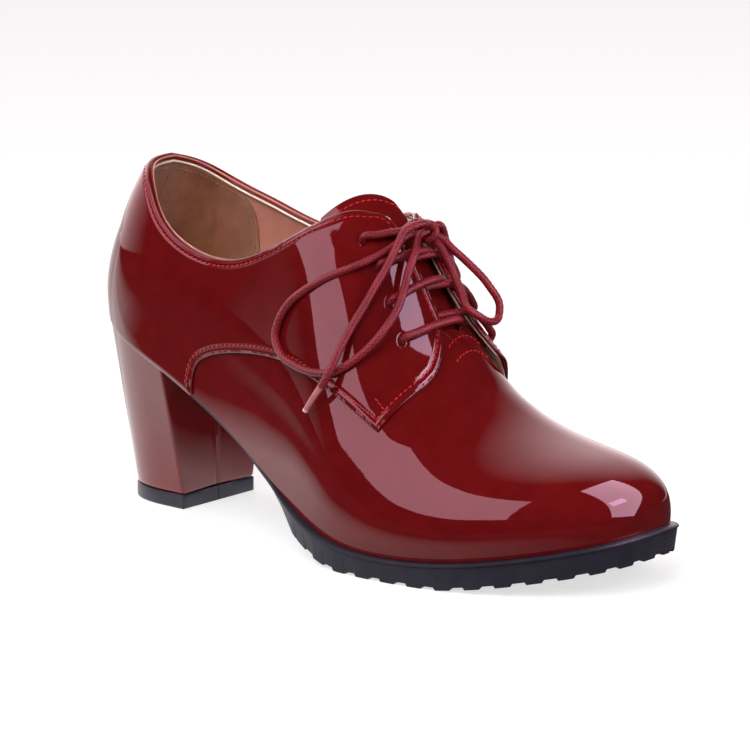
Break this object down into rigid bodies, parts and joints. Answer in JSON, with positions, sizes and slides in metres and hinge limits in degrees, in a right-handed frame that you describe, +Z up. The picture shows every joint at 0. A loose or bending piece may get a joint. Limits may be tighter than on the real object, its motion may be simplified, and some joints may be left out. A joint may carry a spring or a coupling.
{
  "type": "lace-up block heel shoe",
  "caption": "Right-foot lace-up shoe in glossy patent leather with lapped quarters and a tied bow, on a thin lugged sole and a covered block heel; hollow, open at the collar.",
  "frame": {"origin": "on the floor under the middle of the shoe's box", "axes": "+X towards the toe, +Y towards the inner side of the foot, +Z up"},
  "size_m": [0.2454, 0.0926, 0.1324],
  "materials": {
    "patent": "dark red patent leather, mirror gloss",
    "lining": "soft beige lining leather",
    "rubber": "satin black moulded rubber",
    "lace": "waxed round braided cord, crimson"
  },
  "bodies": {
    "root": {"upper": "patent", "quarter_outer": "patent", "quarter_inner": "patent", "tongue": "patent", "heel_block": "patent", "outsole": "rubber", "top_lift": "rubber", "insole": "lining", "lace_cross_1": "lace", "lace_cross_2": "lace", "lace_cross_3": "lace", "lace_cross_4": "lace", "lace_knot": "lace", "lace_loop_outer": "lace", "lace_loop_inner": "lace", "lace_end_outer": "lace", "lace_end_inner": "lace"}
  },
  "joints": []
}
